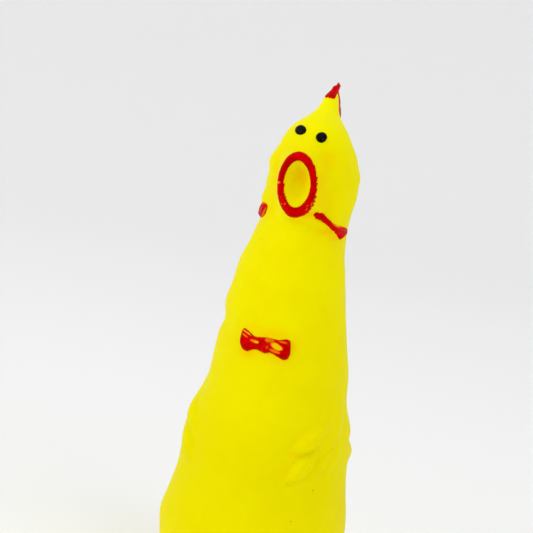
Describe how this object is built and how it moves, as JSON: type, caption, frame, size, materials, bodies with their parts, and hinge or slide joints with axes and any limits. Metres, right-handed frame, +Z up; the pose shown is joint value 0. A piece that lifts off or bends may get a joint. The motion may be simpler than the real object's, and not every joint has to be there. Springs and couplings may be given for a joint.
{
  "type": "rubber chicken squeeze toy",
  "caption": "Hollow soft rubber chicken that screams when squeezed: upright pear body, long neck, wide open mouth, bow tie, comb and a press-in squeaker.",
  "frame": {"origin": "middle of the flat ring under the base, on the floor", "axes": "+Z up along the standing body; the face, the bow tie and the toes look along -Y; +X is the bird's own left side"},
  "size_m": [0.06, 0.0823, 0.1664],
  "materials": {
    "skin": "matt soft vinyl rubber, bright yellow",
    "red_paint": "hand-brushed satin red paint over the rubber",
    "eye_paint": "glossy black paint dot",
    "squeaker_plastic": "moulded, semi-matt",
    "reed_film": "thin smooth plastic strip"
  },
  "bodies": {
    "torso": {"torso_skin": "skin", "wing_left": "skin", "wing_right": "skin", "tail": "skin", "bow_tie_loops": "red_paint", "bow_tie_knot": "red_paint", "leg_left": "skin", "leg_right": "skin", "squeaker_housing": "squeaker_plastic", "squeaker_cap": "squeaker_plastic", "reed_seat": "squeaker_plastic", "reed_clip": "squeaker_plastic"},
    "belly": {"belly_panel": "skin"},
    "neck": {"neck_skin": "skin"},
    "head": {"head_skin": "skin", "mouth_lip": "red_paint", "eye_left": "eye_paint", "eye_right": "eye_paint", "comb": "red_paint", "wattle_left": "red_paint", "wattle_right": "red_paint"},
    "toes_left": {"foot_left": "red_paint"},
    "toes_right": {"foot_right": "red_paint"},
    "reed": {"squeaker_reed": "reed_film"}
  },
  "joints": [
    {"name": "belly_squeeze", "type": "slide", "parent": "torso", "child": "belly", "axis": [0, 1, 0], "range_m": [0, 0.01], "stiffness_N_per_m": 60},
    {"name": "neck_sway", "type": "hinge", "parent": "torso", "child": "neck", "pos_m": [0, 0, 0.095], "axis": [0, 1, 0], "range_deg": [-25, 25], "stiffness_Nm_per_rad": 0.08},
    {"name": "head_nod", "type": "hinge", "parent": "neck", "child": "head", "pos_m": [0, 0, 0.113], "axis": [1, 0, 0], "range_deg": [-20, 32], "stiffness_Nm_per_rad": 0.05},
    {"name": "foot_left_flex", "type": "hinge", "parent": "torso", "child": "toes_left", "pos_m": [0.0125, -0.032, 0.0032], "axis": [-1, 0, 0], "range_deg": [0, 35], "stiffness_Nm_per_rad": 0.002},
    {"name": "foot_right_flex", "type": "hinge", "parent": "torso", "child": "toes_right", "pos_m": [-0.0125, -0.032, 0.0032], "axis": [-1, 0, 0], "range_deg": [0, 35], "stiffness_Nm_per_rad": 0.002},
    {"name": "reed_flutter", "type": "hinge", "parent": "torso", "child": "reed", "pos_m": [0.00047, 0, 0.0138], "axis": [0, -1, 0], "range_deg": [-0.8, 4], "stiffness_Nm_per_rad": 0.00002}
  ]
}
